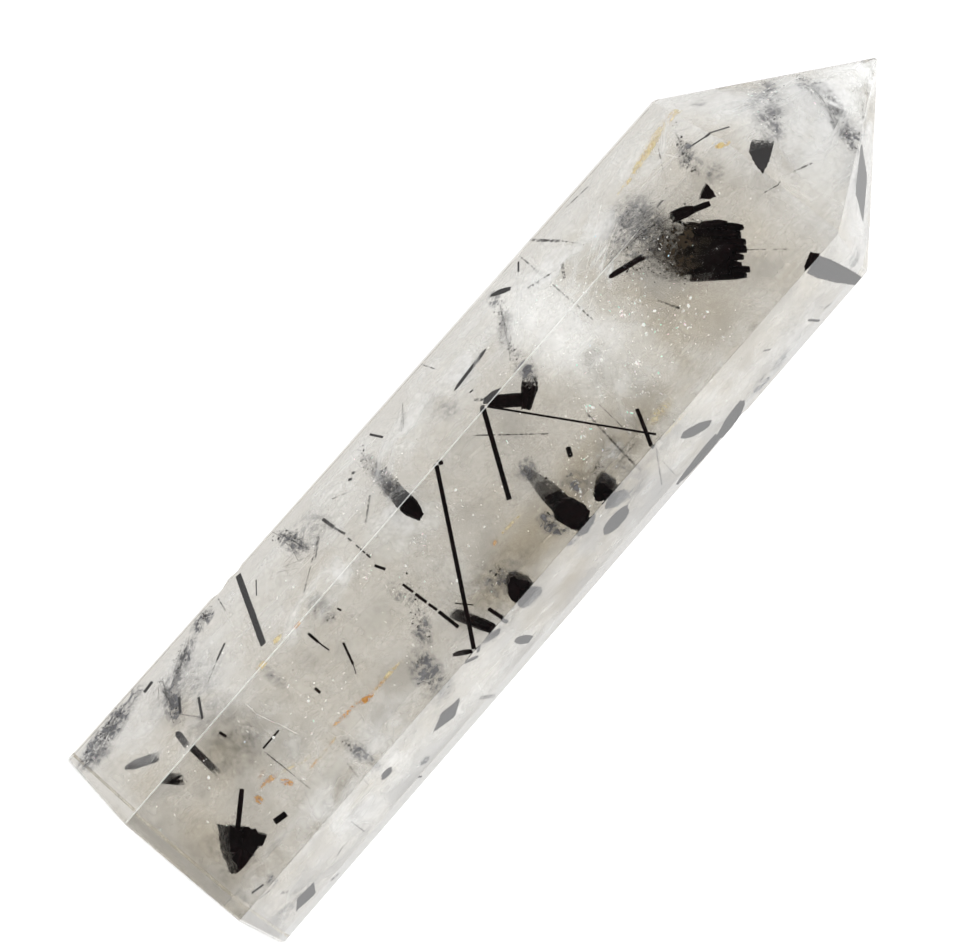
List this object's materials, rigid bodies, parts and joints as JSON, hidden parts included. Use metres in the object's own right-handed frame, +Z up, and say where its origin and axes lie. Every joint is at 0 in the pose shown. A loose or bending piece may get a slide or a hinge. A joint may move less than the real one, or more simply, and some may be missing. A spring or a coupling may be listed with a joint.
{
  "type": "tourmalinated quartz point",
  "caption": "Clear polished hexagonal quartz point with a faceted pyramid tip and black tourmaline rods and needles inside, standing on its flat cut base as a display piece.",
  "frame": {"origin": "middle of the flat cut base, where the point stands", "axes": "+Z up along the crystal's long axis to the tip, -Y out of the broad front face, +X to the right as seen from the front"},
  "size_m": [0.0269, 0.0216, 0.1004],
  "materials": {
    "quartz": "polished clear quartz, faintly grey and milky",
    "tourmaline": "black schorl crystal, striated along its length",
    "veil": "white milky veils and small bright flakes inside the quartz",
    "iron_stain": "orange to brown iron stain in fine cracks"
  },
  "bodies": {
    "root": {"quartz_front": "quartz", "quartz_back": "quartz", "tourmaline_mass": "tourmaline", "tourmaline_bent_rod": "tourmaline", "tourmaline_small_triangle": "tourmaline", "tourmaline_short_rod": "tourmaline", "tourmaline_front_cut": "tourmaline", "tourmaline_tip_lens": "tourmaline", "tourmaline_shoulder": "tourmaline", "tourmaline_elbow": "tourmaline", "tourmaline_slanted": "tourmaline", "tourmaline_broad": "tourmaline", "tourmaline_end_on": "tourmaline", "tourmaline_wedge": "tourmaline", "tourmaline_lower_rod": "tourmaline", "tourmaline_level_rod": "tourmaline", "tourmaline_long_needle": "tourmaline", "tourmaline_steep_needle": "tourmaline", "tourmaline_level_needle": "tourmaline", "tourmaline_crossing_needle": "tourmaline", "tourmaline_left_rod": "tourmaline", "tourmaline_left_stub": "tourmaline", "tourmaline_left_blade": "tourmaline", "tourmaline_right_lens": "tourmaline", "tourmaline_right_blade_upper": "tourmaline", "tourmaline_right_blade_lower": "tourmaline", "tourmaline_right_oval": "tourmaline", "tourmaline_right_sliver": "tourmaline", "tourmaline_right_diamond": "tourmaline", "tourmaline_right_dot": "tourmaline", "tourmaline_right_foot": "tourmaline", "tourmaline_base_mass": "tourmaline", "tourmaline_base_rod": "tourmaline", "tourmaline_base_stub": "tourmaline"}
  },
  "joints": []
}
